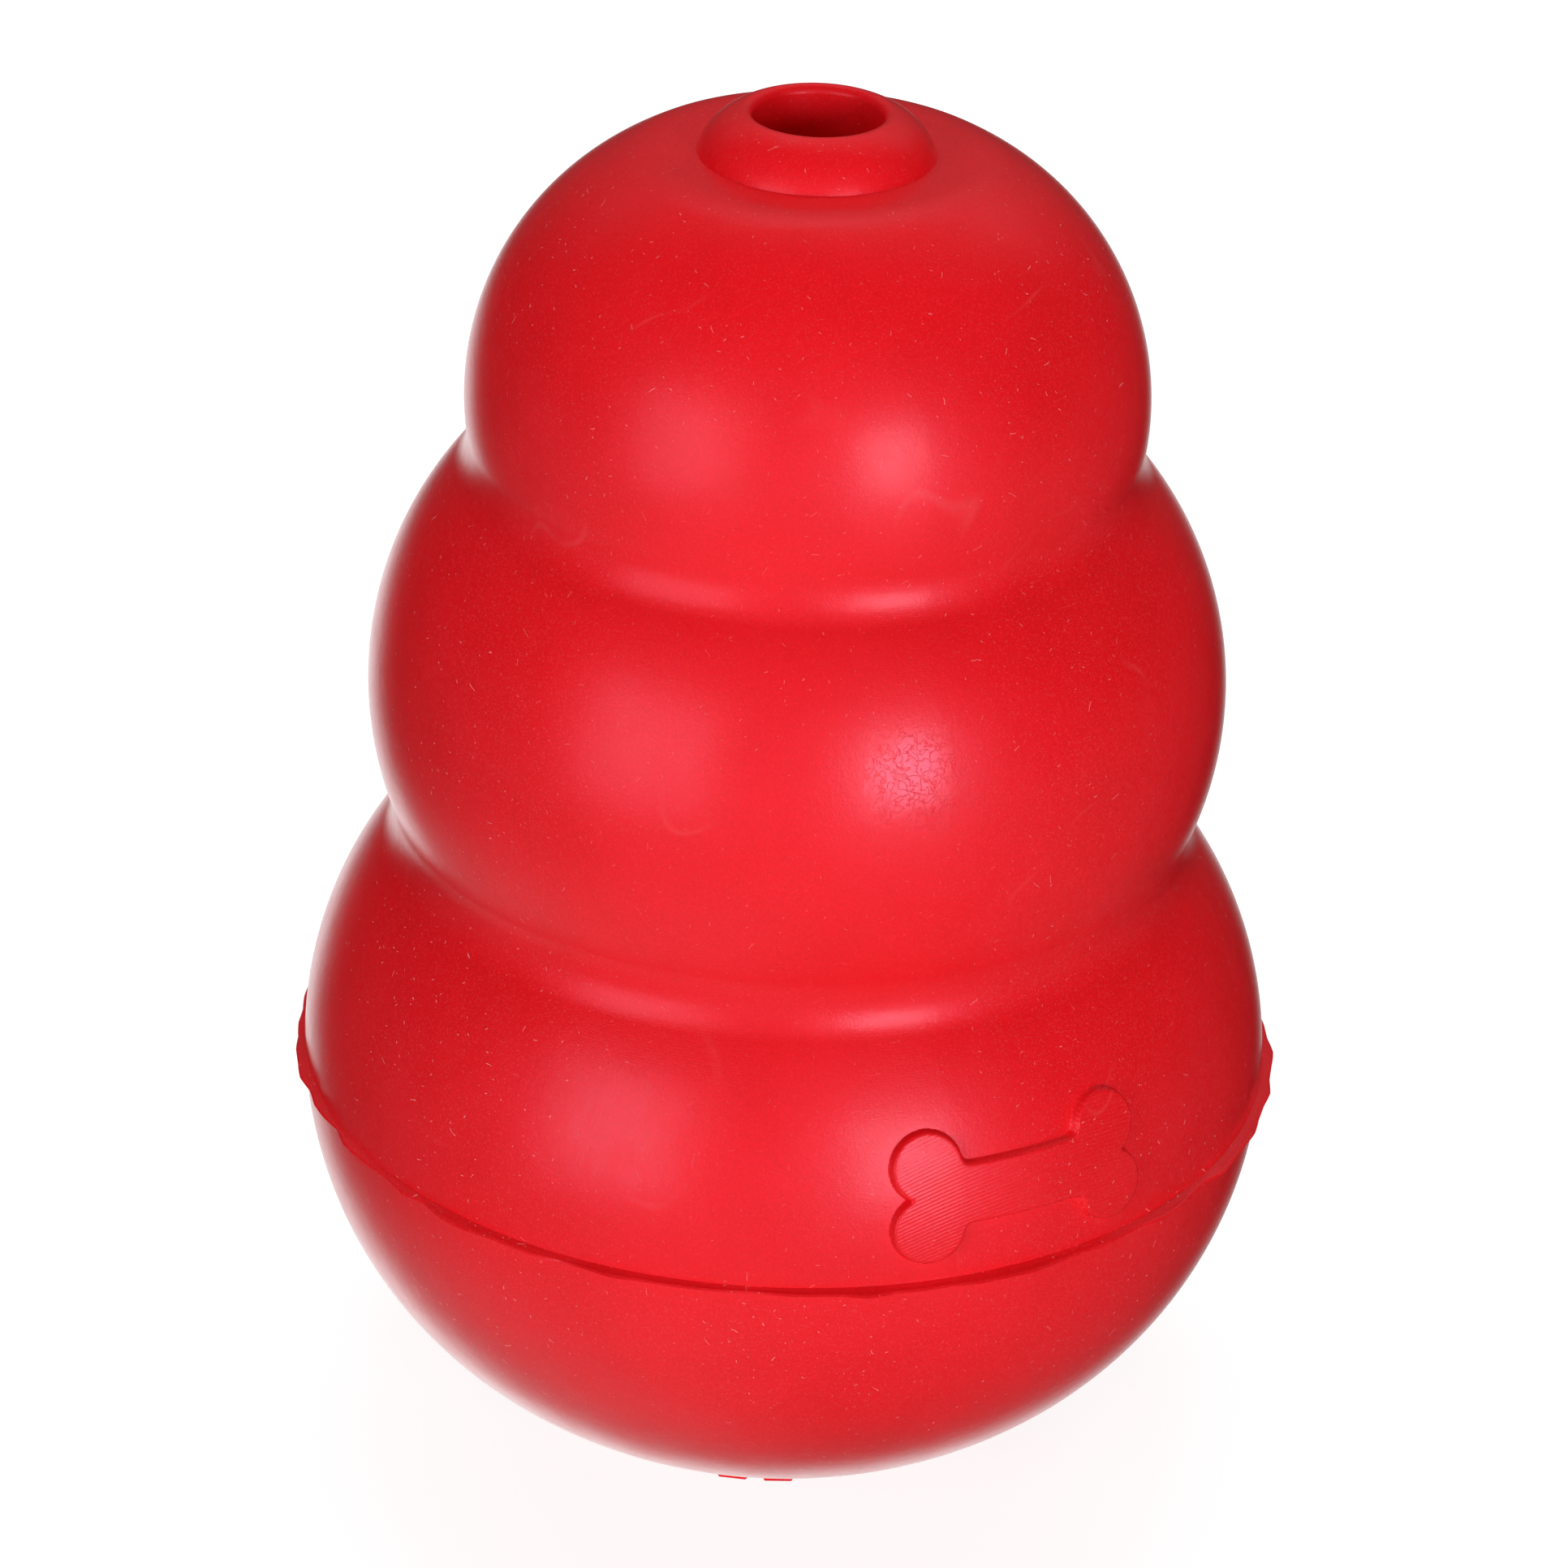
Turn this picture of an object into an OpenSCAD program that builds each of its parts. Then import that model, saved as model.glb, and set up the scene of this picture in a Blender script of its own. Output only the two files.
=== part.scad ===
// Hollow rubber chew toy of three stacked lobes, moulded in one piece.
// The moulding is divided at its waists, its parting line, its collar crease and its standing lip.
// Units are millimetres. The origin is the centre of the flat ring that it stands on, and +Z is up.
// The front of the toy faces -Y.

/* [Base lobe] */
// Radius of the base lobe at the parting line
base_r = 35; // [32:0.5:39]
// Radius of the arc that rounds the base lobe above the parting line
base_arc = 26.5; // [24:0.5:29]
// Height of the parting line above the floor
parting_z = 27.3; // [25:0.1:30]
// Width of the flat ring that the toy stands on, outside the rounded rim of the filling opening
foot_w = 1; // [0.6:0.1:3]

/* [Middle lobe] */
// Largest radius of the middle lobe
middle_r = 30.4; // [28:0.2:33]
// Radius of the arc that rounds the middle lobe
middle_arc = 24.4; // [22:0.2:27]
// Height of the middle lobe's centre above the parting line
middle_rise = 29.2; // [27:0.2:32]

/* [Crown lobe] */
// Largest radius of the crown lobe
crown_r = 23.8; // [22:0.2:26]
// Radius of the arc that rounds the crown lobe
crown_arc = 19.7; // [18:0.1:21]
// Height of the crown lobe's centre above the middle lobe's centre
crown_rise = 21.8; // [20:0.2:24]
// Radius of the tighter arc on the shoulder of the crown lobe
shoulder_arc = 6; // [4:0.5:8]
// Depth of the flat land round the collar, under the top of the crown's arc
land_drop = 1.6; // [1:0.1:2.2]

/* [Waists] */
// Radius of the hollow fillet between the base lobe and the middle lobe
lower_waist_fillet = 4.5; // [3:0.5:6]
// Radius of the hollow fillet between the middle lobe and the crown lobe
upper_waist_fillet = 4.5; // [3:0.5:6]

/* [Top collar] */
// Radius of the collar at the crease round its foot
collar_r = 8.2; // [7.5:0.1:9]
// Radius of the arc that domes the collar
collar_arc = 4.8; // [4.4:0.1:5.4]
// Depth of the centre of the collar's arc under the land
collar_sink = 1.6; // [1:0.1:2.2]
// Radius of the small hole in the top
top_hole_r = 4.5; // [3.5:0.1:5.2]
// Radius that rounds the rim of the top hole
top_lip = 0.6; // [0.4:0.1:1]

/* [Bottom opening] */
// Radius of the filling opening in the base
opening_r = 14.5; // [12:0.25:15.5]
// Radius that rounds the rim of the filling opening
opening_lip = 0.8; // [0.4:0.1:1.2]
// Height of the lip ring
rim_h = 2.5; // [1.5:0.25:4]

/* [Hollow] */
// Wall of rubber at the widest place of the base chamber
base_wall = 13; // [11:0.5:14.5]
// Radius of the arc that rounds the base chamber
base_chamber_arc = 17; // [15:0.5:18.5]
// Depth of the base chamber's centre under the parting line
base_chamber_drop = 2.2; // [1:0.2:4]
// Wall of rubber at the widest place of the middle chamber
middle_wall = 12.9; // [11:0.1:14]
// Radius of the arc that rounds the middle chamber
middle_chamber_arc = 14; // [12:0.5:15.5]
// Depth of the middle chamber's centre under the middle lobe's centre
middle_chamber_drop = 5.8; // [4.6:0.2:7]
// Wall of rubber at the widest place of the crown chamber
crown_wall = 11.8; // [10.6:0.1:13]
// Radius of the arc that rounds the crown chamber
crown_chamber_arc = 10.5; // [9:0.5:11.5]
// Depth of the crown chamber's centre under the crown lobe's centre
crown_chamber_drop = 3.6; // [2:0.2:5]
// Radius that rounds the ridges of rubber between the chambers
ridge_round = 5; // [4:0.5:7]
// Radius that rounds the inner ends of the top hole and of the filling opening
mouth_round = 2; // [1:0.5:3]

/* [Parting flash] */
// Mean width of the fin of flash beyond the base lobe
flash_w = 0.7; // [0.3:0.05:1.1]
// Thickness of the fin of flash
flash_t = 0.35; // [0.2:0.05:0.6]
// Depth to which the flash is rooted in the lobe
flash_root = 1.5; // [1:0.1:3]

/* [Bone emblem] */
// Height by which the emblem stands proud of the base lobe
emblem_h = 0.7; // [0.3:0.05:0.9]
// Length of the bone from the middle of one pair of knobs to the other
bone_l = 14; // [11:0.5:16]
// Width of the bone's shaft
bone_w = 4.4; // [3:0.2:6]
// Radius of each knob of the bone
knob_r = 2.6; // [2:0.1:3]

/* [Base marks] */
// Height by which the marks stand proud of the bowl
mark_h = 0.35; // [0.2:0.05:0.5]
// Width of each mark, along the rim
mark_w = 2.1; // [1.5:0.1:2.8]
// Length of each mark, away from the rim
mark_l = 1.6; // [1:0.1:2.2]
// Distance between the middles of the two marks
mark_pitch = 3.2; // [3:0.1:4]
// Distance from the edge of the flat ring to the middle of each mark
mark_gap = 2.5; // [2:0.1:4]

/* [Hidden] */
$fn = 128;

// Straight steps in the arcs of an outline, and in the ragged edge of the flash
arc_steps = 24;
fillet_steps = 12;
lip_steps = 8;
flash_steps = 240;

// Waves of the ragged edge of the flash: how many there are round the toy, and their size and phase
flash_waves = [1, 7, 17, 37];
flash_wave_share = [0.2, 0.12, 0.1, 0.05];
flash_phase = [110, 230, 70, 110];

// Azimuth of the emblem from +X, and the upward tilt of its face
emblem_az = -61;
emblem_el = 14;

// Distance of each knob from the bone's middle line, as a share of the knob's radius
knob_spread_share = 0.85;

// Azimuth midway between the marks
marks_az = -92.5;

// Overrun of a cut, and the clearance round the root of the flash
overrun = 1;
seat_gap = 0.05;

// Outer edge of the flat ring, and the bowl's arc that rises from it to stand upright at the parting line
foot_r = opening_r + opening_lip + foot_w;
bowl_arc = (pow(base_r - foot_r, 2) + pow(parting_z, 2)) / (2 * (base_r - foot_r));

// Heights of the lobes and of the land
middle_z = parting_z + middle_rise;
crown_z = middle_z + crown_rise;
land_z = crown_z + crown_arc - land_drop;

// Centres of the arcs, as [radius, height]
bowl_c = [base_r - bowl_arc, parting_z];
base_c = [base_r - base_arc, parting_z];
middle_c = [middle_r - middle_arc, middle_z];
crown_c = [crown_r - crown_arc, crown_z];
lower_waist_c = outer_tangent(base_c, base_arc, middle_c, middle_arc, lower_waist_fillet);
upper_waist_c = outer_tangent(middle_c, middle_arc, crown_c, crown_arc, upper_waist_fillet);
shoulder_c = [crown_c.x + leg(crown_arc - shoulder_arc, land_z - shoulder_arc - crown_z),
              land_z - shoulder_arc];

// Centres of the arcs of the hollow
base_chamber_c = [base_r - base_wall - base_chamber_arc, parting_z - base_chamber_drop];
middle_chamber_c = [middle_r - middle_wall - middle_chamber_arc, middle_z - middle_chamber_drop];
crown_chamber_c = [crown_r - crown_wall - crown_chamber_arc, crown_z - crown_chamber_drop];
lower_ridge_c = outer_tangent(base_chamber_c, base_chamber_arc,
                              middle_chamber_c, middle_chamber_arc, ridge_round);
upper_ridge_c = outer_tangent(middle_chamber_c, middle_chamber_arc,
                              crown_chamber_c, crown_chamber_arc, ridge_round);
opening_mouth_c = mouth_centre(opening_r, base_chamber_c, base_chamber_arc, -1);
hole_mouth_c = mouth_centre(top_hole_r, crown_chamber_c, crown_chamber_arc, 1);

// Centres of the arcs of the collar
collar_c = [collar_r - leg(collar_arc, collar_sink), land_z - collar_sink];
top_lip_r = top_hole_r + top_lip;
top_lip_c = [top_lip_r, collar_c.y + leg(collar_arc - top_lip, top_lip_r - collar_c.x)];

// Distance of the marks from the axis, the turn from one to the other, and the downward tilt of their faces
mark_r = foot_r + mark_gap;
marks_turn = mark_pitch / mark_r * 180 / PI;
marks_el = -acos((mark_r - bowl_c.x) / bowl_arc);

// Radius of the root of the flash, and a radius past everything
flash_root_r = base_r - flash_root;
reach = base_r + flash_w + bowl_arc;

// Other leg of a right triangle
function leg(hypotenuse, side) = sqrt(pow(hypotenuse, 2) - pow(side, 2));

// Direction from one point to another, from -180 to 180 degrees
function heading(from, to) = atan2(to.y - from.y, to.x - from.x);

// Same direction, from 0 to 360 degrees
function turn(a) = (a + 360) % 360;

// Points of an arc, from one direction to another
function arc(centre, radius, from, to, steps) =
    [for (i = [0 : steps])
        let (a = from + (to - from) * i / steps)
            centre + radius * [cos(a), sin(a)]];

// Centre of the circle that touches two circles from outside, on the side away from the axis
function outer_tangent(c1, r1, c2, r2, radius) =
    let (apart = norm(c2 - c1),
         along = (c2 - c1) / apart,
         away = [along.y, -along.x],
         step = (pow(r1 + radius, 2) - pow(r2 + radius, 2) + pow(apart, 2)) / (2 * apart))
            c1 + along * step + away * leg(r1 + radius, step);

// Centre of the arc that rounds a straight bore into a chamber, below it (side -1) or above it (side 1)
function mouth_centre(bore_r, chamber_c, chamber_arc, side) =
    [bore_r + mouth_round,
     chamber_c.y + side * leg(chamber_arc + mouth_round, bore_r + mouth_round - chamber_c.x)];

// Outline of the bowl, from where it meets the floor to the parting line
function bowl_points(proud = 0) =
    arc(bowl_c, bowl_arc + proud, -asin(parting_z / bowl_arc), 0, arc_steps);

// Outline of the base lobe's arc, from the parting line to the lower waist
function base_points(proud = 0) =
    arc(base_c, base_arc + proud, 0, heading(base_c, lower_waist_c), arc_steps);

// Hollow arc of a waist or a ridge, between the two arcs that it joins
function waist_points(centre, radius, below, above) =
    arc(centre, radius, turn(heading(centre, below)), turn(heading(centre, above)), fillet_steps);

// Outline of the outside, up from the floor to the land round the collar
function outside_points() =
    concat([[0, 0]],
           bowl_points(),
           base_points(),
           waist_points(lower_waist_c, lower_waist_fillet, base_c, middle_c),
           arc(middle_c, middle_arc, heading(middle_c, lower_waist_c),
               heading(middle_c, upper_waist_c), arc_steps),
           waist_points(upper_waist_c, upper_waist_fillet, middle_c, crown_c),
           arc(crown_c, crown_arc, heading(crown_c, upper_waist_c),
               heading(crown_c, shoulder_c), arc_steps),
           arc(shoulder_c, shoulder_arc, heading(crown_c, shoulder_c), 90, fillet_steps),
           [[0, land_z]]);

// Outline of the hollow, up from under the floor to above the land
function hollow_points() =
    concat([[0, -overrun], [opening_r + opening_lip, -overrun]],
           arc([opening_r + opening_lip, opening_lip], opening_lip, 270, 180, lip_steps),
           arc(opening_mouth_c, mouth_round, 180, heading(opening_mouth_c, base_chamber_c), lip_steps),
           arc(base_chamber_c, base_chamber_arc, heading(base_chamber_c, opening_mouth_c),
               heading(base_chamber_c, lower_ridge_c), arc_steps),
           waist_points(lower_ridge_c, ridge_round, base_chamber_c, middle_chamber_c),
           arc(middle_chamber_c, middle_chamber_arc, heading(middle_chamber_c, lower_ridge_c),
               heading(middle_chamber_c, upper_ridge_c), arc_steps),
           waist_points(upper_ridge_c, ridge_round, middle_chamber_c, crown_chamber_c),
           arc(crown_chamber_c, crown_chamber_arc, heading(crown_chamber_c, upper_ridge_c),
               heading(crown_chamber_c, hole_mouth_c), arc_steps),
           arc(hole_mouth_c, mouth_round, turn(heading(hole_mouth_c, crown_chamber_c)), 180, lip_steps),
           [[top_hole_r, land_z + overrun], [0, land_z + overrun]]);

// Outline of the collar: its foot, its dome and the rounded rim of the top hole
function collar_points() =
    concat([[top_hole_r, land_z]],
           arc(collar_c, collar_arc, heading(collar_c, [collar_r, land_z]),
               heading(collar_c, top_lip_c), arc_steps),
           arc(top_lip_c, top_lip, heading(collar_c, top_lip_c), 180, lip_steps));

// Distance by which the ragged edge of the flash stands out at an angle
function flash_reach(a) =
    flash_w * (1 + flash_wave_share * [for (i = [0 : len(flash_waves) - 1])
                                          sin(flash_waves[i] * a + flash_phase[i])]);

// Edge of the flash, all the way round
function flash_points() =
    [for (i = [0 : flash_steps - 1])
        let (a = 360 * i / flash_steps)
            (base_r + flash_reach(a)) * [cos(a), sin(a)]];

// Same points in the opposite order
function backwards(points) = [for (i = [len(points) - 1 : -1 : 0]) points[i]];

// Slice of the hollow moulding between two heights
module moulding(from_z, to_z) {
    rotate_extrude()
        intersection() {
            difference() {
                polygon(outside_points());
                polygon(hollow_points());
            }
            translate([0, from_z])
                square([reach, to_z - from_z]);
        }
}

// Skin that stands proud of an arc of the outline, all the way round
module skin(inner, outer) {
    rotate_extrude()
        polygon(concat(outer, backwards(inner)));
}

// Upright column on the arc of a lobe, square to its surface, with local X down the slope
module on_lobe(centre, az, el, height) {
    rotate([0, 0, az])
        translate([centre.x, 0, centre.y])
            rotate([0, 90 - el, 0])
                linear_extrude(height)
                    children();
}

// Outline of a bone that lies along Y
module bone_outline() {
    square([bone_w, bone_l], center = true);
    for (end = [-1, 1], side = [-1, 1])
        translate([side * knob_r * knob_spread_share, end * bone_l / 2])
            circle(knob_r);
}

// Domed ring round the top hole
module top_collar() {
    color("#e3242c")
        rotate_extrude()
            polygon(collar_points());
}

// Smallest lobe, from the upper waist to the land
module crown_lobe() {
    color("#d41f28")
        moulding(upper_waist_c.y, land_z);
}

// Middle lobe, between the waists
module middle_lobe() {
    color("#dd2029")
        moulding(lower_waist_c.y, upper_waist_c.y);
}

// Upper part of the widest lobe, down to the parting line
module base_lobe() {
    color("#e6212b")
        moulding(parting_z, lower_waist_c.y);
}

// Thin ragged fin of rubber at the parting line
module parting_flash() {
    color("#a8141c")
        translate([0, 0, parting_z - flash_t])
            linear_extrude(flash_t)
                difference() {
                    polygon(flash_points());
                    circle(flash_root_r);
                }
}

// Rounded lower part of the widest lobe, with a rebate for the root of the flash
module base_bowl() {
    color("#d9202a")
        difference() {
            moulding(rim_h, parting_z);
            rotate_extrude()
                translate([flash_root_r - seat_gap, parting_z - flash_t])
                    square([reach, flash_t + overrun]);
        }
}

// Lip round the filling opening, with the flat ring that the toy stands on
module bottom_rim() {
    color("#c81c25")
        moulding(0, rim_h);
}

// Plain raised bone on the base lobe
module bone_emblem() {
    color("#ee2f3a")
        intersection() {
            skin(base_points(), base_points(emblem_h));
            on_lobe(base_c, emblem_az, emblem_el, base_arc + emblem_h + overrun)
                bone_outline();
        }
}

// Two short raised bars beside the lip
module base_marks() {
    color("#c0222a")
        for (side = [-1, 1])
            intersection() {
                skin(bowl_points(), bowl_points(mark_h));
                on_lobe(bowl_c, marks_az + side * marks_turn / 2, marks_el, bowl_arc + mark_h + overrun)
                    square([mark_l, mark_w], center = true);
            }
}

top_collar();
crown_lobe();
middle_lobe();
base_lobe();
parting_flash();
base_bowl();
bottom_rim();
bone_emblem();
base_marks();
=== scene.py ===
"""Hollow red rubber chew toy of three stacked lobes, dressed around its CAD frame.

Every piece follows the CAD solid of the same place. The toy stands on z = 0 with its axis on Z,
and its front faces -Y. Lengths are metres.
"""

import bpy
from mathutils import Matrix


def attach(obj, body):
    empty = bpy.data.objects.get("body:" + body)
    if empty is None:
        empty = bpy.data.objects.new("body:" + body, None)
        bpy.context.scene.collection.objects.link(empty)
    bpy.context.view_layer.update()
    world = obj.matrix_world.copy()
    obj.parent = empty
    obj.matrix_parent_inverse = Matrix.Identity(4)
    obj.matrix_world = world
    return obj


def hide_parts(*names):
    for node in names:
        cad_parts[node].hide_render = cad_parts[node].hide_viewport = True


bl_info = {
    "name": "Rubber chew toy",
    "version": (1, 0, 0),
    "blender": (4, 5, 0),
    "location": "3D View > Sidebar > Chew toy",
    "description": "Builds a hollow rubber chew toy with its collar, flash, emblem and marks",
    "category": "Add Mesh",
}

from math import acos, asin, atan2, ceil, cos, hypot, pi, radians, sin, sqrt, tau

import bmesh
import bpy
from bpy.props import FloatProperty, FloatVectorProperty, IntProperty, PointerProperty
from mathutils import Matrix, Quaternion, Vector, noise

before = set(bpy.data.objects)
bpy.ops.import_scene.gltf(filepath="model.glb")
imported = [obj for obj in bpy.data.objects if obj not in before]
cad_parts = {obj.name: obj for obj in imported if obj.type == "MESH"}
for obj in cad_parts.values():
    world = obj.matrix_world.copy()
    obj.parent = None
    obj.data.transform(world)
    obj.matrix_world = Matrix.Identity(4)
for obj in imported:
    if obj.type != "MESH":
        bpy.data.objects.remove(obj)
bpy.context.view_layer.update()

MM = 0.001
BODY = "root"
UP = Vector((0, 0, 1))
# A vertex that swings about this axis goes from +X to +Z
SWING = Vector((0, -1, 0))
LEFT, TOP, BOTTOM = pi, pi / 2, -pi / 2
# Vertices this near each other are made one, and this near a height or radius are on it
WELD, NEAR = 1e-7, 1e-6
# Play between hidden faces, so that no two pieces share one
PLAY = 0.05 * MM
# How deep the bone and the marks sink into the rubber
SINK = 0.6 * MM


# Sizes that a user would change

def length(name, description, default_mm):
    """A length property, with its default in millimetres."""
    return FloatProperty(name=name, description=description, default=default_mm * MM,
                         min=0.0, precision=5, unit="LENGTH")


def angle(name, description, default_degrees):
    """An angle property, with its default in degrees."""
    return FloatProperty(name=name, description=description, default=radians(default_degrees),
                         subtype="ANGLE")


def share(name, description, default, top=1.0):
    """A plain factor between 0 and its top."""
    return FloatProperty(name=name, description=description, default=default, min=0.0, max=top)


def watts(name, description, default):
    """The power of a lamp."""
    return FloatProperty(name=name, description=description, default=default, min=0.0,
                         unit="POWER")


def colour(name, description, default):
    """A linear colour."""
    return FloatVectorProperty(name=name, description=description, default=default,
                               min=0.0, max=1.0, subtype="COLOR")


def place(name, description, default):
    """A point in the toy's frame."""
    return FloatVectorProperty(name=name, description=description, default=default,
                               subtype="TRANSLATION")


def count(name, description, default, least, most):
    """A whole number."""
    return IntProperty(name=name, description=description, default=default, min=least, max=most)


class LobeSizes(bpy.types.PropertyGroup):
    """Outside of the three lobes"""
    base_r: length("Base radius", "Radius of the base lobe at the parting line", 35)
    base_arc: length("Base arc", "Arc of the base lobe above the parting line", 26.5)
    parting_z: length("Parting height", "Height of the parting line above the floor", 27.3)
    foot_w: length("Foot width", "Width of the flat ring that the toy stands on", 1)
    foot_round: length("Foot rounding", "Rounding of the flat ring's outer edge", 0.35)
    rim_h: length("Lip height", "Height of the lip round the filling opening", 2.5)
    middle_r: length("Middle radius", "Largest radius of the middle lobe", 30.4)
    middle_arc: length("Middle arc", "Arc of the middle lobe", 24.4)
    middle_rise: length("Middle rise", "Middle lobe's centre above the parting line", 29.2)
    crown_r: length("Crown radius", "Largest radius of the crown lobe", 23.8)
    crown_arc: length("Crown arc", "Arc of the crown lobe", 19.7)
    crown_rise: length("Crown rise", "Crown's centre above the middle lobe's centre", 21.8)
    shoulder_arc: length("Shoulder arc", "Tighter arc on the crown's shoulder", 6)
    land_drop: length("Land drop", "Flat land under the top of the crown's arc", 1.6)
    lower_waist: length("Lower waist", "Hollow fillet between base and middle lobe", 4.5)
    upper_waist: length("Upper waist", "Hollow fillet between middle lobe and crown", 4.5)
    round_steps: count("Steps round", "Steps of each full turn", 384, 32, 768)
    arc_step: angle("Arc step", "Largest turn from one ring of the outside to the next", 1.25)
    inner_step: angle("Inner step", "Largest turn from one ring of the hollow to the next", 3)


class HollowSizes(bpy.types.PropertyGroup):
    """Chambers, ridges and mouths of the hollow"""
    opening_r: length("Opening radius", "Radius of the filling opening", 14.5)
    opening_lip: length("Opening lip", "Rounding of the filling opening's rim", 0.8)
    base_wall: length("Base wall", "Rubber beside the base chamber", 13)
    base_chamber: length("Base chamber", "Arc of the base chamber", 17)
    base_drop: length("Base chamber drop", "Its centre under the parting line", 2.2)
    middle_wall: length("Middle wall", "Rubber beside the middle chamber", 12.9)
    middle_chamber: length("Middle chamber", "Arc of the middle chamber", 14)
    middle_drop: length("Middle chamber drop", "Its centre under the lobe's centre", 5.8)
    crown_wall: length("Crown wall", "Rubber beside the crown chamber", 11.8)
    crown_chamber: length("Crown chamber", "Arc of the crown chamber", 10.5)
    crown_drop: length("Crown chamber drop", "Its centre under the lobe's centre", 3.6)
    ridge_round: length("Ridge rounding", "Arc of the ridges between the chambers", 5)
    mouth_round: length("Mouth rounding", "Arc at the inner ends of hole and opening", 2)


class CollarSizes(bpy.types.PropertyGroup):
    """Domed ring round the top hole"""
    collar_r: length("Collar radius", "Radius at the crease round the collar's foot", 8.2)
    collar_arc: length("Collar arc", "Arc that domes the collar", 4.8)
    collar_sink: length("Collar sink", "Centre of the collar's arc under the land", 1.6)
    hole_r: length("Hole radius", "Radius of the top hole", 4.5)
    hole_lip: length("Hole lip", "Rounding of the top hole's rim", 0.6)


class FlashSizes(bpy.types.PropertyGroup):
    """Ragged fin of rubber at the parting line"""
    flash_w: length("Width", "Mean width of the fin", 0.64)
    flash_t: length("Thickness", "Thickness of the fin at its root", 0.35)
    bead: length("Edge rounding", "Narrow slopes above and below the fin's edge", 0.04)
    lean: length("Lean", "How far the torn edge leans back towards its top", 0.08)
    edge_t: length("Edge thickness", "Thickness of the fin near its edge", 0.17)
    root_depth: length("Root", "Depth of the fin's root in the lobe", 1.5)
    root_rise: length("Root rise", "Height to which the fin's top slopes up to the lobe", 0.2)
    ragged: length("Ragged edge", "Height of the torn corners of the fin's edge", 0.32)
    corners: count("Torn corners", "Corners round the whole edge", 113, 8, 200)
    droop: length("Droop", "Rise and fall of the fin's edge", 0.12)
    round_steps: count("Steps round", "Steps of the full turn", 1152, 240, 2304)


class EmblemSizes(bpy.types.PropertyGroup):
    """Plain raised bone on the base lobe"""
    height: length("Height", "Height of the bone above the lobe", 0.7)
    bone_l: length("Bone length", "Between the middles of its two ends", 14)
    bone_w: length("Shaft width", "Width of the bone's shaft", 4.4)
    knob_r: length("Knob radius", "Radius of each knob", 2.6)
    knob_spread: share("Knob spread", "Knob's distance from the middle line, in knob radii", 0.85)
    wall_run: length("Wall run", "Slope of the side walls, seen from above", 0.26)
    inner_round: length("Inner rounding", "Rounding where the knobs meet the shaft", 0.7)
    azimuth: angle("Azimuth", "Direction of the bone from +X", -61)
    tilt: angle("Tilt", "Upward tilt of the bone's face", 14)
    cell: length("Cell", "Size of the mesh cells", 0.13)


class MarkSizes(bpy.types.PropertyGroup):
    """Two short raised bars beside the lip"""
    height: length("Height", "Height of the marks above the bowl", 0.35)
    mark_w: length("Width", "Width of each mark, along the rim", 2.1)
    mark_l: length("Length", "Length of each mark, away from the rim", 1.6)
    pitch: length("Pitch", "Distance between the middles of the marks", 3.2)
    gap: length("Gap", "From the flat ring's edge to the middle of a mark", 2.5)
    rounding: length("Rounding", "Rounding of the marks' edges", 0.14)
    azimuth: angle("Azimuth", "Direction midway between the marks, from +X", -92.5)


class RubberLooks(bpy.types.PropertyGroup):
    """Colours and finish of the rubber"""
    red: colour("Red", "Main colour of the rubber", (0.88, 0.0070, 0.0125))
    deep_red: colour("Deep red", "Darker clouds in the rubber", (0.75, 0.0056, 0.0092))
    flash_red: colour("Flash red", "Colour of the thin flash", (0.86, 0.008, 0.013))
    lint: colour("Lint", "Fibres and dust that cling to the rubber", (0.95, 0.36, 0.38))
    # Pit: colour of the small dark specks, which have no relief under them
    pit: colour("Pit", "Dirt in the small pits", (0.20, 0.004, 0.008))
    cloudy: share("Clouds", "Strength of the darker clouds", 0.4)
    mottle: share("Mottle", "Strength of the fine dark mottle", 0.42)
    crown_dull: share("Crown dullness", "How much duller the crown lobe is", 0.055)
    bloom: share("Bloom", "Strength of the fine pale dust on the skin", 0.09)
    lint_cover: share("Lint cover", "How much lint hides the red under it", 0.85)
    lint_dull: share("Lint dullness", "How much rougher lint is than the rubber", 0.3)
    scuff_cover: share("Scuff cover", "How much the scuffs pale the red", 0.06)
    # Pit cover: how far the small dark specks hide the red
    pit_cover: share("Pit cover", "How much the dirt in pits hides the red", 0.7)
    roughness: share("Roughness", "Mean roughness of the rubber", 0.38)
    gloss: share("Gloss", "Strength of the rubber's broad shine", 0.5)
    skin_roughness: share("Skin roughness", "Roughness of the smooth moulded skin", 0.22)
    skin_ior: FloatProperty(name="Skin index", description="Refractive index of that skin",
                            default=1.25, min=1.0, max=2.0)
    shine: colour("Shine", "Tint of the soft highlights", (0.95, 0.76, 1.0))
    grain: share("Grain", "Depth of the moulded grain", 1.7, 4.0)
    worn_at: place("Worn patch", "Middle of the shinier patch", (0.0080, -0.0283, 0.0635))
    worn_r: length("Worn patch radius", "Reach of the shinier patch", 5.2)
    wear: share("Wear", "How much smoother the worn patch is", 0.3)
    rubbed_at: place("Rubbed patch", "Middle of the fainter patch", (-0.0113, -0.0312, 0.0369))
    rubbed_r: length("Rubbed patch radius", "Reach of the fainter patch", 9)
    dull: share("Dullness", "How much rougher the bowl is than the lobes", 0.03)
    tool_marks: share("Tool marks", "Depth of the lines on the bone", 0.08)


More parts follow.
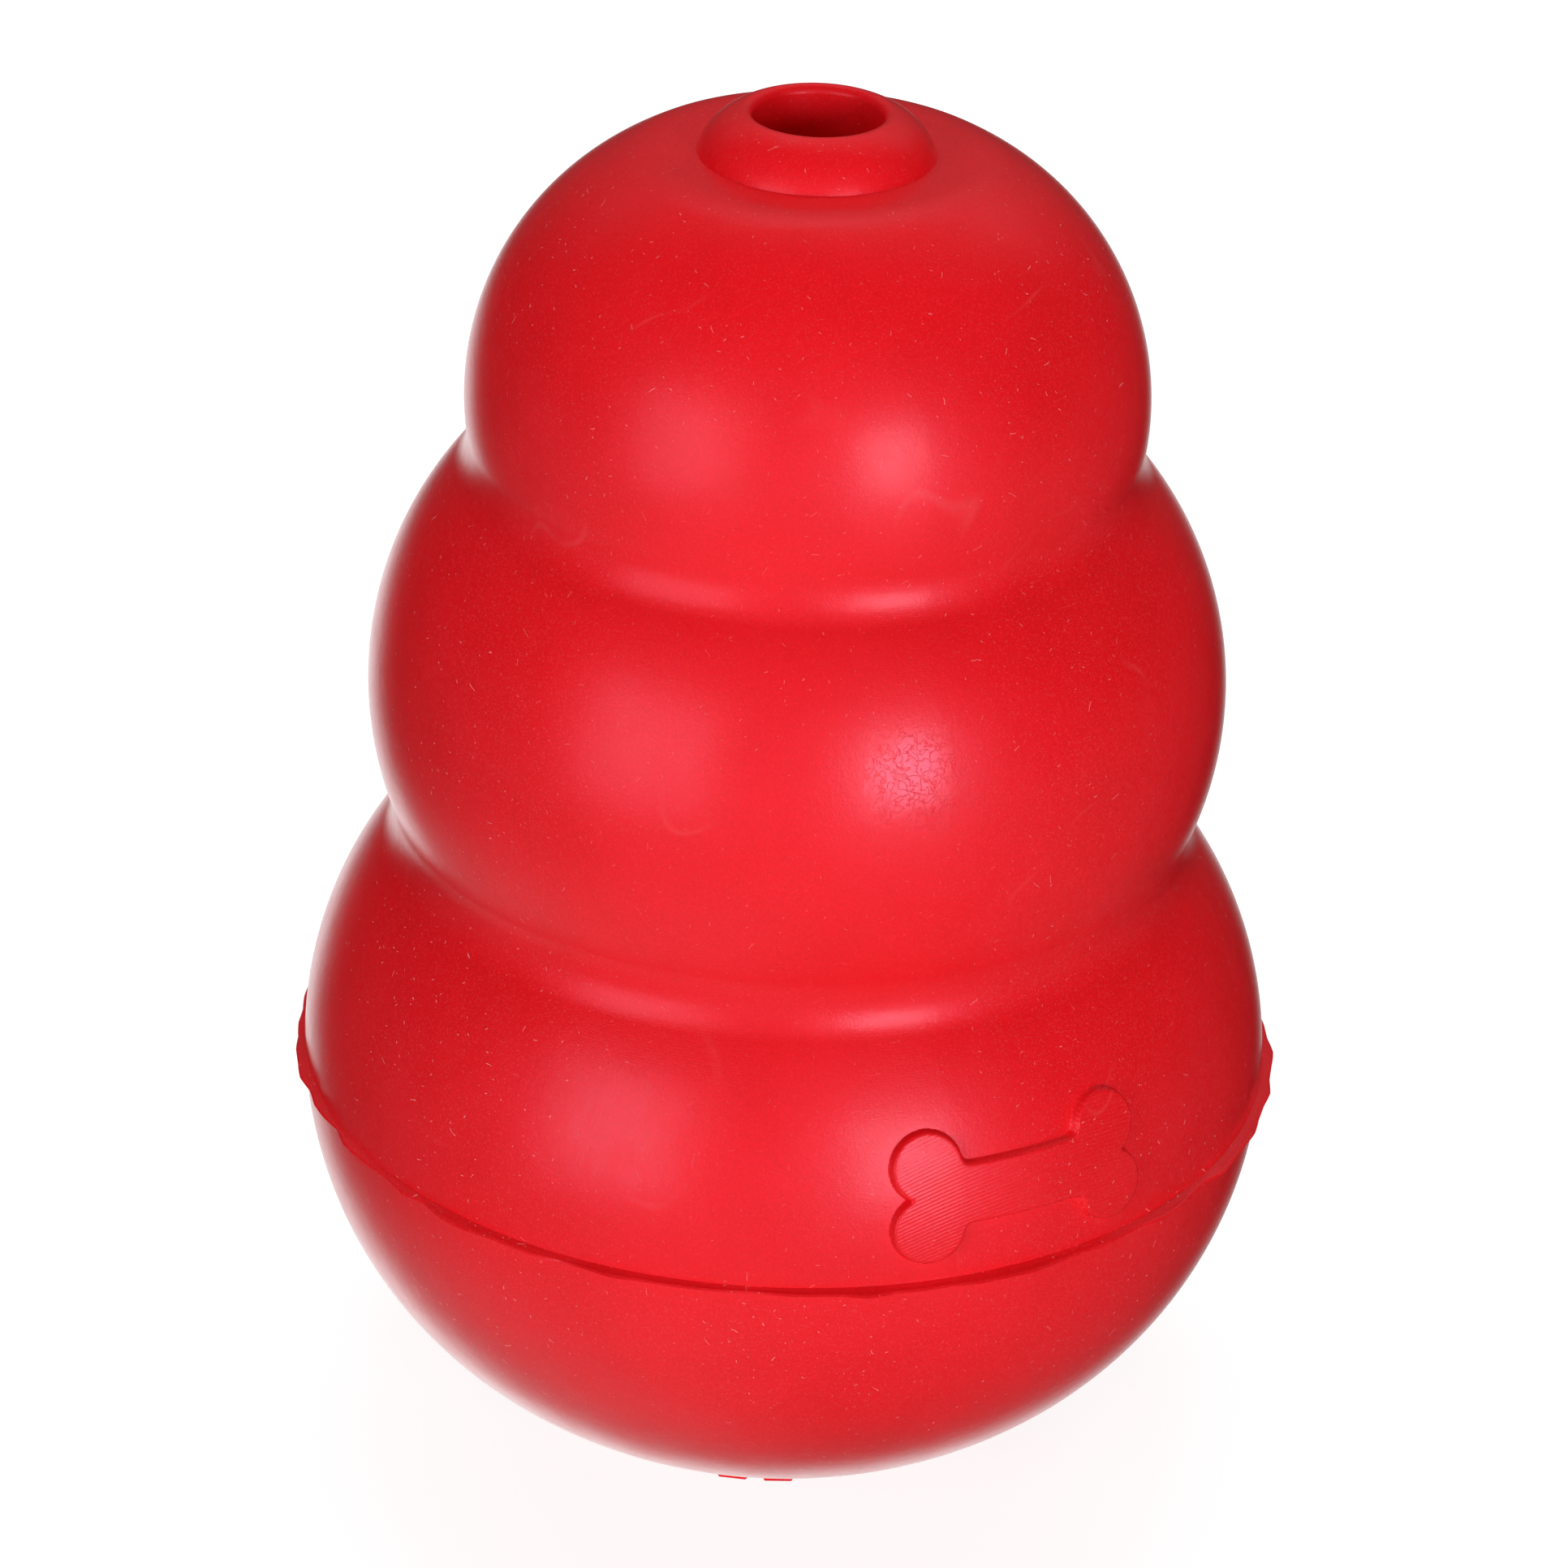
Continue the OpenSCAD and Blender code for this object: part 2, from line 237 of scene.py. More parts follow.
class StageSettings(bpy.types.PropertyGroup):
    """Camera, lamps, floor and background"""
    lens: FloatProperty(name="Focal length", description="On a 36 mm sensor, in millimetres",
                        default=134.48)
    lens_at: place("Camera", "Place of the camera", (0, -0.37222248, 0.24258185))
    aim: place("Aim", "Point that the camera looks at", (-0.00065, -0.00008, 0.04789))
    roll: angle("Camera roll", "Lean of the camera", 2.1145)
    key: watts("Key lamp", "Power of the right lamp", 6.3)
    fill: watts("Fill lamp", "Power of the left lamp", 5.5)
    top: watts("Top lamp", "Power of the lamp above and behind", 4.0)
    back: watts("Back lamps", "Power of each lamp behind", 1.8)
    key_glint: watts("Key glint", "Power of the mirrored right lamp", 1.95)
    fill_glint: watts("Fill glint", "Power of the mirrored left lamp", 1.5)
    glint: colour("Glint", "Colour of the mirrored lamps", (1.0, 0.78, 1.0))
    pale: share("Pale table", "Brightness of the mirrored table behind the toy", 1.2, 3.0)
    front_room: share("Front room", "Brightness of the mirrored room in front", 0.25)
    table: share("Table", "Brightness of the mirrored table", 0.1)
    near_left: share("Near left", "Brightness of the mirrored table at the left", 0.25)
    wall: share("Wall", "Brightness of the mirrored wall behind", 0.055)
    ceiling: share("Ceiling", "Brightness of the mirrored ceiling", 0.06)
    floor_bounce: share("Floor bounce", "Brightness of the floor as a light", 0.64)
    floor_white: share("Floor glow", "Part of the floor's white that no shadow takes", 0.86)
    floor_shade: share("Floor shade", "Part of the floor's white that a shadow takes", 0.3)


# Outlines, drawn in the XZ plane

def leg(hypotenuse, side):
    """Other leg of a right triangle."""
    return sqrt(hypotenuse ** 2 - side ** 2)


class Arc:
    """A circle that outlines follow, as a bulge of the rubber or as a hollow in it."""

    def __init__(self, x, z, radius, step, hollow=False):
        self.centre = Vector((x, z))
        self.radius, self.step = radius, step
        self.way = -1 if hollow else 1

    def at(self, z):
        """Direction in which the outer side passes a height."""
        return asin((z - self.centre.y) / self.radius)

    def point(self, direction):
        """Point in a direction from the centre."""
        return self.centre + self.radius * Vector((cos(direction), sin(direction)))

    def level(self, z):
        """Point of the outer side at a height."""
        return self.point(self.at(z))

    def bridge(self, other, radius, hollow):
        """Arc that touches this one and another, on their side away from the axis."""
        apart = (other.centre - self.centre).length
        along = (other.centre - self.centre) / apart
        away = Vector((along.y, -along.x))
        near, far = self.radius + radius, other.radius + radius
        step = (near ** 2 - far ** 2 + apart ** 2) / (2 * apart)
        centre = self.centre + along * step + away * leg(near, step)
        return Arc(*centre, radius, self.step, hollow)


class Outline:
    """A run of edges that one vertex leaves as it is carried along."""

    def __init__(self, bm, x, z):
        self.bm = bm
        self.first = self.tip = bm.verts.new((x, 0, z))

    def line(self, x, z):
        """Draws a straight edge to a point."""
        made = bmesh.ops.extrude_vert_indiv(self.bm, verts=[self.tip])
        self.tip = made["verts"][0]
        self.tip.co = (x, 0, z)

    def arc(self, arc, to):
        """Follows an arc up to a direction from its centre, or to the arc that it touches."""
        if isinstance(to, Arc):
            to = atan2(*(to.centre - arc.centre).yx)
        x, z = arc.centre
        start = atan2(self.tip.co.z - z, self.tip.co.x - x)
        turn = (arc.way * (to - start)) % tau
        made = bmesh.ops.spin(self.bm, geom=[self.tip], cent=(x, 0, z), axis=SWING,
                              angle=arc.way * turn, steps=max(2, ceil(turn / arc.step)))
        self.tip = next(g for g in made["geom_last"] if isinstance(g, bmesh.types.BMVert))

    def close(self):
        """Joins the tip to the first vertex."""
        self.line(*self.first.co.xz)
        bmesh.ops.remove_doubles(self.bm, verts=[self.first, self.tip], dist=WELD)


class Moulding:
    """Arcs of the outside and of the hollow, as the CAD works them out."""

    def __init__(self, scene):
        s, h, c = scene.toy_lobes, scene.toy_hollow, scene.toy_collar
        self.s, self.h, self.c = s, h, c
        self.foot_r = h.opening_r + h.opening_lip + s.foot_w
        inset = s.base_r - self.foot_r
        bowl_arc = (inset ** 2 + s.parting_z ** 2) / (2 * inset)
        middle_z = s.parting_z + s.middle_rise
        crown_z = middle_z + s.crown_rise
        self.land_z = crown_z + s.crown_arc - s.land_drop
        shoulder_z = self.land_z - s.shoulder_arc

        def lobe(reach, arc, z):
            return Arc(reach - arc, z, arc, s.arc_step)

        def room(reach, arc, z):
            return Arc(reach - arc, z, arc, s.inner_step, hollow=True)

        self.bowl = lobe(s.base_r, bowl_arc, s.parting_z)
        self.base = lobe(s.base_r, s.base_arc, s.parting_z)
        self.middle = lobe(s.middle_r, s.middle_arc, middle_z)
        self.crown = lobe(s.crown_r, s.crown_arc, crown_z)
        self.low_waist = self.base.bridge(self.middle, s.lower_waist, hollow=True)
        self.top_waist = self.middle.bridge(self.crown, s.upper_waist, hollow=True)
        shoulder_x = self.crown.centre.x + leg(s.crown_arc - s.shoulder_arc, shoulder_z - crown_z)
        self.shoulder = Arc(shoulder_x, shoulder_z, s.shoulder_arc, s.arc_step)
        self.base_room = room(s.base_r - h.base_wall, h.base_chamber,
                              s.parting_z - h.base_drop)
        self.middle_room = room(s.middle_r - h.middle_wall, h.middle_chamber,
                                middle_z - h.middle_drop)
        self.crown_room = room(s.crown_r - h.crown_wall, h.crown_chamber,
                               crown_z - h.crown_drop)
        self.low_ridge = self.base_room.bridge(self.middle_room, h.ridge_round, hollow=False)
        self.top_ridge = self.middle_room.bridge(self.crown_room, h.ridge_round, hollow=False)
        self.opening_mouth = self.mouth(h.opening_r, self.base_room, -1)
        self.hole_mouth = self.mouth(c.hole_r, self.crown_room, 1)
        self.collar = Arc(c.collar_r - leg(c.collar_arc, c.collar_sink),
                          self.land_z - c.collar_sink, c.collar_arc, s.arc_step)
        lip_r = c.hole_r + c.hole_lip
        rise = leg(c.collar_arc - c.hole_lip, lip_r - self.collar.centre.x)
        self.hole_lip = Arc(lip_r, self.collar.centre.y + rise, c.hole_lip, s.inner_step)

    def mouth(self, bore_r, room, side):
        """Arc that rounds a straight bore into a chamber, above or below its centre."""
        r = bore_r + self.h.mouth_round
        rise = leg(room.radius + self.h.mouth_round, r - room.centre.x)
        return Arc(r, room.centre.y + side * rise, self.h.mouth_round, self.s.inner_step)

    def turned(self, draw):
        """Mesh of an outline that is turned round the toy's axis."""
        bm = bmesh.new()
        draw(bm)
        turn_round(bm, self.s.round_steps)
        return bm

    def draw_rim(self, bm):
        """Lip round the filling opening, with the flat ring under it."""
        s, h = self.s, self.h
        lip = Arc(h.opening_r + h.opening_lip, h.opening_lip, h.opening_lip, s.inner_step)
        line = Outline(bm, self.foot_r, 0)
        line.arc(self.bowl, self.bowl.at(s.rim_h))
        line.line(h.opening_r, s.rim_h)
        line.line(h.opening_r, h.opening_lip)
        line.arc(lip, BOTTOM)
        line.close()

    def draw_bowl(self, bm):
        """Lower part of the base lobe, with the rebate for the root of the flash."""
        s, f = self.s, bpy.context.scene.toy_flash
        seat_z = s.parting_z - f.flash_t
        seat_r = s.base_r - f.root_depth - PLAY
        line = Outline(bm, *self.bowl.level(s.rim_h))
        line.arc(self.bowl, self.bowl.at(seat_z))
        line.line(seat_r, seat_z)
        line.line(seat_r, s.parting_z)
        line.line(*self.base_room.level(s.parting_z))
        line.arc(self.base_room, self.opening_mouth)
        line.arc(self.opening_mouth, LEFT)
        line.line(self.h.opening_r, s.rim_h)
        line.close()

    def draw_base(self, bm):
        """Base lobe above the parting line, up to the lower waist."""
        line = Outline(bm, self.s.base_r, self.s.parting_z)
        line.arc(self.base, self.low_waist)
        line.arc(self.low_waist, LEFT)
        line.line(*self.middle_room.level(self.low_waist.centre.y))
        line.arc(self.middle_room, self.low_ridge)
        line.arc(self.low_ridge, self.base_room)
        line.arc(self.base_room, self.base_room.at(self.s.parting_z))
        line.close()

    def draw_middle(self, bm):
        """Middle lobe, between the waists."""
        line = Outline(bm, *self.low_waist.point(LEFT))
        line.arc(self.low_waist, self.middle)
        line.arc(self.middle, self.top_waist)
        line.arc(self.top_waist, LEFT)
        line.line(*self.crown_room.level(self.top_waist.centre.y))
        line.arc(self.crown_room, self.top_ridge)
        line.arc(self.top_ridge, self.middle_room)
        line.arc(self.middle_room, self.middle_room.at(self.low_waist.centre.y))
        line.close()

    def draw_crown(self, bm):
        """Crown lobe, from the upper waist to the land round the collar."""
        line = Outline(bm, *self.top_waist.point(LEFT))
        line.arc(self.top_waist, self.crown)
        line.arc(self.crown, self.shoulder)
        line.arc(self.shoulder, TOP)
        line.line(self.c.hole_r, self.land_z)
        line.line(self.c.hole_r, self.hole_mouth.centre.y)
        line.arc(self.hole_mouth, self.crown_room)
        line.arc(self.crown_room, self.crown_room.at(self.top_waist.centre.y))
        line.close()

    def draw_collar(self, bm):
        """Domed collar with the rounded rim of the top hole."""
        line = Outline(bm, self.c.collar_r, self.land_z)
        line.arc(self.collar, self.hole_lip)
        line.arc(self.hole_lip, LEFT)
        line.line(self.c.hole_r, self.land_z)
        line.close()


# Meshes

def turn_round(bm, steps):
    """Spins a mesh a full turn. A sector is spun and then doubled, which is much quicker."""
    most_spun = 24
    doublings = 0
    while steps % 2 == 0 and steps > most_spun:
        steps //= 2
        doublings += 1
    span = tau / 2 ** doublings
    bmesh.ops.spin(bm, geom=bm.verts[:] + bm.edges[:], cent=(0, 0, 0), axis=UP,
                   angle=span, steps=steps)
    for _ in range(doublings):
        copy = bmesh.ops.duplicate(bm, geom=bm.verts[:] + bm.edges[:] + bm.faces[:])
        bmesh.ops.rotate(bm, cent=(0, 0, 0), matrix=Matrix.Rotation(span, 3, "Z"),
                         verts=[g for g in copy["geom"] if isinstance(g, bmesh.types.BMVert)])
        span *= 2
    bmesh.ops.remove_doubles(bm, verts=bm.verts, dist=WELD)


def round_edges(bm, edges, radius, segments):
    """Rounds edges of a mesh."""
    bmesh.ops.bevel(bm, geom=edges, offset=radius, offset_type="OFFSET", segments=segments,
                    profile=0.5, affect="EDGES", clamp_overlap=True, material=-1)


def finish_piece(bm, name, material, *nodes, slot="red_rubber", sharp=35):
    """Makes an object of the mesh that stands for CAD nodes and rides on the toy's body."""
    bmesh.ops.recalc_face_normals(bm, faces=bm.faces)
    for face in bm.faces:
        face.smooth = True
    for edge in bm.edges:
        edge.smooth = not edge.is_manifold or edge.calc_face_angle(0) < radians(sharp)
    mesh = bpy.data.meshes.new(name)
    bm.to_mesh(mesh)
    bm.free()
    mesh.materials.append(material)
    piece = bpy.data.objects.new(name, mesh)
    bpy.context.scene.collection.objects.link(piece)
    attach(piece, BODY)
    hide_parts(*nodes)


# Materials

class Nodes:
    """Nodes of a material or world, built one call at a time."""

    def __init__(self, owner):
        owner.use_nodes = True
        self.tree = owner.node_tree
        self.tree.nodes.clear()

    def add(self, kind, inputs=None, **settings):
        """Adds a node. An input given a socket is linked, and any other value is set."""
        node = self.tree.nodes.new(kind)
        for key, value in settings.items():
            setattr(node, key, value)
        for key, value in (inputs or {}).items():
            if isinstance(value, bpy.types.NodeSocket):
                self.tree.links.new(value, node.inputs[key])
            else:
                node.inputs[key].default_value = value
        return node

    def math(self, operation, *values):
        """A number worked out from others."""
        return self.add("ShaderNodeMath", dict(enumerate(values)), operation=operation).outputs[0]

    def vector(self, operation, *values, out=0):
        """A vector worked out from others."""
        return self.add("ShaderNodeVectorMath", dict(enumerate(values)),
                        operation=operation).outputs[out]

    def dot(self, a, b):
        """Dot product of two vectors."""
        return self.vector("DOT_PRODUCT", a, b, out="Value")

    def scaled(self, a, factor):
        """A vector times a number."""
        return self.add("ShaderNodeVectorMath", {0: a, "Scale": factor},
                        operation="SCALE").outputs[0]

    def ramp(self, value, low, high, to_low=0.0, to_high=1.0):
        """A smooth step from one value to another."""
        return self.add("ShaderNodeMapRange", {"Value": value, "From Min": low,
                        "From Max": high, "To Min": to_low, "To Max": to_high},
                        interpolation_type="SMOOTHSTEP").outputs[0]

    def noise(self, at, size, detail=2.0, roughness=0.5, distortion=0.0, out="Fac"):
        """Soft noise with features of about a size in metres."""
        return self.add("ShaderNodeTexNoise", {"Vector": at, "Scale": 1 / size,
                        "Detail": detail, "Roughness": roughness,
                        "Distortion": distortion}).outputs[out]

    def drift(self, at, size, *looks):
        """A random vector about zero, up to a half each way."""
        return self.vector("SUBTRACT", self.noise(at, size, *looks, out="Color"), (0.5,) * 3)

    def contour(self, noise, width):
        """Mask of thin lines along the middle level of a noise."""
        return self.ramp(self.math("ABSOLUTE", self.math("SUBTRACT", noise, 0.5)), width, 0.0)

    def cells(self, at, size):
        """Voronoi cells of about a size in metres, and a random number for each."""
        found = self.add("ShaderNodeTexVoronoi", {"Vector": at, "Scale": 1 / size}).outputs
        chance = self.add("ShaderNodeTexWhiteNoise", {"Vector": found["Color"]},
                          noise_dimensions="3D").outputs["Value"]
        return found, chance

    def mix(self, factor, a, b):
        """A colour between two others."""
        return self.add("ShaderNodeMix", {0: factor, 6: a, 7: b}, data_type="RGBA").outputs[2]


# Specks: size of their cells, half length or radius, half width of fibres, share of cells used
LONG_LINT = (3.6 * MM, 0.36 * MM, 0.024 * MM, 0.4)
SHORT_LINT = (1.5 * MM, 0.13 * MM, 0.03 * MM, 0.5)
DUST = (0.5 * MM, 0.046 * MM, 0.5)
PITS = (4.2 * MM, 0.1 * MM, 0.3)

# Noises in the rubber: size, detail, roughness and distortion
CLOUDS = (11 * MM, 3.0, 0.55)
MOTTLE = (0.25 * MM, 2.0, 0.6)
BLOOM = (0.13 * MM, 1.0)
DUSTINESS = (16 * MM, 1.0)
SCUFFS = (19 * MM, 2.0, 0.45)
SCUFFED = (9 * MM, 2.0)
FINE_GRAIN = (0.16 * MM, 2.0, 0.6)
COARSE_GRAIN = (0.8 * MM, 3.0, 0.6)
TURNED = (11 * MM, 1.0)
PATCH_EDGE = (3.5 * MM, 3.0, 0.6)
SCRATCHES = (0.6 * MM, 3.0, 0.6, 0.6)
DULLNESS = (4 * MM, 4.0, 0.6)
STREAKS = (0.9 * MM, 1.0)

# Depths in the relief, which is scaled by the grain's own depth
RELIEF_UNIT = 0.03 * MM
FINE_DEPTH, COARSE_DEPTH, TURNED_DEPTH, SCRATCH_DEPTH = 0.19, 0.26, 0.012, -0.24
# Pitches of the mould's turning lines and of the bone's machining lines, and the bow of these
TURNED_PITCH, MACHINED_PITCH = 0.17 * MM, 0.27 * MM
BOW_X, BOW = 20 * MM, 18.0

# Zones: two distances from the middle plane, or heights, and the mask's strength at each
SIDES = (6 * MM, 22 * MM, 0.4, 1.0)
CROWN_TOP = (78 * MM, 88 * MM, 0.0, 0.6)
BOWL = (30 * MM, 24 * MM, 0.0, 0.85)
CROWN = (70 * MM, 80 * MM, 0.0)


def fibres(t, at, normal, cell, half_length, half_width, kept):
    """Mask of short curled strokes on the surface, one in some of the cells."""
    bent = t.vector("ADD", at, t.scaled(t.drift(at, half_length * 2.4), half_length * 1.2))
    found, chance = t.cells(bent, cell)
    off = t.vector("SUBTRACT", bent, found["Position"])
    off = t.vector("SUBTRACT", off, t.scaled(normal, t.dot(off, normal)))
    aim = t.vector("SUBTRACT", found["Color"], (0.5,) * 3)
    aim = t.vector("NORMALIZE", t.vector("SUBTRACT", aim, t.scaled(normal, t.dot(aim, normal))))
    along = t.math("ABSOLUTE", t.dot(off, aim))
    across = t.vector("LENGTH", t.vector("CROSS_PRODUCT", off, aim), out="Value")
    reach = t.math("MULTIPLY", chance, half_length / kept)
    here = t.math("MULTIPLY", t.ramp(across, half_width, half_width * 0.7),
                  t.math("LESS_THAN", along, reach))
    return t.math("MULTIPLY", here, t.math("LESS_THAN", chance, kept))


def dots(t, at, cell, radius, kept):
    """Mask of small round specks, one in some of the cells."""
    found, chance = t.cells(at, cell)
    size = t.math("MULTIPLY", chance, radius / cell / kept)
    inside = t.math("LESS_THAN", found["Distance"], size)
    return t.math("MULTIPLY", inside, t.math("LESS_THAN", chance, kept))


def lint_masks(t, at, x, z):
    """Mask of the lint and dust, and mask of the places that hands have not wiped."""
    normal = t.add("ShaderNodeNewGeometry").outputs["True Normal"]
    unwiped = t.ramp(t.math("ABSOLUTE", x), *SIDES)
    for zone in (CROWN_TOP, BOWL):
        unwiped = t.math("MAXIMUM", unwiped, t.ramp(z, *zone))
    dusty = t.math("MULTIPLY", t.ramp(t.noise(at, *DUSTINESS), 0.4, 0.62, 0.4, 1.0), unwiped)
    lint = dots(t, at, *DUST)
    for kind in (LONG_LINT, SHORT_LINT):
        lint = t.math("MAXIMUM", lint, fibres(t, at, normal, *kind))
    return t.math("MULTIPLY", lint, dusty), unwiped


def skin_colour(t, at, red, lint, unwiped):
    """Red with darker clouds and mottle, pale dust, lint and scuffs, and small dark specks."""
    looks = bpy.context.scene.toy_rubber
    cloud = t.ramp(t.noise(at, *CLOUDS), 0.35, 0.72)
    mottle = t.ramp(t.noise(at, *MOTTLE), 0.3, 0.7)
    darker = t.math("MULTIPLY_ADD", mottle, looks.mottle, t.math("MULTIPLY", cloud, looks.cloudy))
    base = t.mix(darker, (*getattr(looks, red), 1), (*looks.deep_red, 1))
    scuff = t.math("MULTIPLY", t.contour(t.noise(at, *SCUFFS), 0.008),
                   t.ramp(t.noise(at, *SCUFFED), 0.54, 0.7))
    bloom = t.ramp(t.noise(at, *BLOOM), 0.56, 0.74, 0.0, looks.bloom)
    pale = t.math("MAXIMUM", t.math("MULTIPLY", lint, looks.lint_cover),
                  t.math("MULTIPLY", scuff, looks.scuff_cover))
    pale = t.math("MAXIMUM", pale, t.math("MULTIPLY", bloom, unwiped))
    base = t.mix(pale, base, (*looks.lint, 1))
    # Small dark specks, dotted at random, with no relief under them
    pits = t.math("MULTIPLY", dots(t, at, *PITS), looks.pit_cover)
    return t.mix(pits, base, (*looks.pit, 1))


def patch_masks(t, at):
    """Mask of the worn patch, and mask of both smoother patches with the fainter one."""
    looks = bpy.context.scene.toy_rubber
    moved = t.vector("ADD", at, t.scaled(t.drift(at, *PATCH_EDGE), 4 * MM))
    to_worn, to_rubbed = (t.vector("DISTANCE", moved, middle, out="Value")
                          for middle in (looks.worn_at, looks.rubbed_at))
    worn = t.ramp(to_worn, looks.worn_r, 0.15 * looks.worn_r)
    return worn, t.math("MAXIMUM", worn, t.ramp(to_rubbed, looks.rubbed_r, 0.0, 0.0, 0.6))


def relief(t, at, x, z, worn, smooth, tool_marks):
    """Bump of the moulded grain, the mould's turning lines, scratches and machining lines."""
    # The grain's mean is taken off, so that its fading in a patch leaves no step
    mean = (FINE_DEPTH + COARSE_DEPTH) / 2
    grain = t.math("MULTIPLY_ADD", t.noise(at, *COARSE_GRAIN), COARSE_DEPTH, -mean)
    grain = t.math("MULTIPLY_ADD", t.noise(at, *FINE_GRAIN), FINE_DEPTH, grain)
    turned = t.math("SINE", t.math("MULTIPLY", z, tau / TURNED_PITCH))
    turned = t.math("MULTIPLY", turned, t.ramp(t.noise(at, *TURNED), 0.5, 0.68))
    grain = t.math("MULTIPLY_ADD", turned, TURNED_DEPTH, grain)
    height = t.math("MULTIPLY", grain, t.ramp(smooth, 0.0, 1.0, 1.0, 0.3))
    scratch = t.math("MULTIPLY", t.contour(t.noise(at, *SCRATCHES), 0.02), worn)
    height = t.math("MULTIPLY_ADD", scratch, SCRATCH_DEPTH, height)
    if tool_marks:
        bow = t.math("MULTIPLY", t.math("POWER", t.math("ADD", x, -BOW_X), 2.0), BOW)
        lines = t.math("SINE", t.math("MULTIPLY", t.math("ADD", z, bow), tau / MACHINED_PITCH))
        height = t.math("MULTIPLY_ADD", lines, tool_marks, height)
    return t.add("ShaderNodeBump", {"Strength": bpy.context.scene.toy_rubber.grain,
                                    "Distance": RELIEF_UNIT, "Height": height}).outputs[0]


def rubber(name, red="red", tool_marks=0.0, dull=0.0):
    """Moulded rubber in one of the reds, with what time and hands left on it."""
    looks = bpy.context.scene.toy_rubber
    material = bpy.data.materials.new(name)
    t = Nodes(material)
    at = t.add("ShaderNodeTexCoord").outputs["Object"]
    x, _, z = t.add("ShaderNodeSeparateXYZ", {0: at}).outputs
    lint, unwiped = lint_masks(t, at, x, z)
    worn, smooth = patch_masks(t, at)
    bump = relief(t, at, x, z, worn, smooth, tool_marks)

    matte = t.math("ADD", t.ramp(t.noise(at, *DULLNESS), 0.3, 0.7, -0.04, 0.05),
                   looks.roughness + dull)
    # The patches are smoother in upright streaks
    streaks = t.noise(t.vector("MULTIPLY", at, (1.0, 1.0, 0.1)), *STREAKS)
    smoother = t.ramp(streaks, 0.35, 0.65, -looks.wear, -0.4 * looks.wear)
    matte = t.math("MULTIPLY_ADD", smooth, smoother, matte)
    matte = t.math("ADD", t.ramp(z, *CROWN, looks.crown_dull), matte)
    matte = t.math("MULTIPLY_ADD", lint, looks.lint_dull, matte)
    surface = t.add("ShaderNodeBsdfPrincipled", {
        "Base Color": skin_colour(t, at, red, lint, unwiped),
        "Roughness": matte, "Normal": bump, "IOR": 1.5,
        "Specular IOR Level": looks.gloss, "Specular Tint": (*looks.shine, 1),
        "Coat Weight": 1.0, "Coat Roughness": looks.skin_roughness + dull,
        "Coat IOR": looks.skin_ior, "Coat Normal": bump})
    t.add("ShaderNodeOutputMaterial", {"Surface": surface.outputs[0]})
    return material


def red_rubber():
    """Finish that most pieces share."""
    found = bpy.data.materials.get("moulded_rubber")
    return found or rubber("moulded_rubber")


# Operators

class AddLobes(bpy.types.Operator):
    """Add the crown, middle and base lobes"""
    bl_idname = "chew_toy.add_lobes"
    bl_label = "Lobes"

    def execute(self, context):
        body = Moulding(context.scene)
        for name, draw, node in (("crown_skin", body.draw_crown, "crown_lobe"),
                                 ("middle_skin", body.draw_middle, "middle_lobe"),
                                 ("base_skin", body.draw_base, "base_lobe")):
            finish_piece(body.turned(draw), name, red_rubber(), node)
        return {"FINISHED"}


class AddBowl(bpy.types.Operator):
    """Add the bowl under the parting line and the lip that the toy stands on"""
    bl_idname = "chew_toy.add_bowl"
    bl_label = "Bowl and lip"

    def execute(self, context):
        body = Moulding(context.scene)
        finish = rubber("bowl_rubber", dull=context.scene.toy_rubber.dull)
        finish_piece(body.turned(body.draw_bowl), "bowl_skin", finish, "base_bowl")
        bm = body.turned(body.draw_rim)
        foot = [e for e in bm.edges
                if all(abs(hypot(v.co.x, v.co.y) - body.foot_r) < NEAR and v.co.z < NEAR
                       for v in e.verts)]
        round_edges(bm, foot, body.s.foot_round, 4)
        finish_piece(bm, "lip_ring", red_rubber(), "bottom_rim")
        return {"FINISHED"}


class AddCollar(bpy.types.Operator):
    """Add the domed collar round the top hole"""
    bl_idname = "chew_toy.add_collar"
    bl_label = "Collar"

    def execute(self, context):
        body = Moulding(context.scene)
        finish_piece(body.turned(body.draw_collar), "collar_ring", red_rubber(), "top_collar")
        return {"FINISHED"}


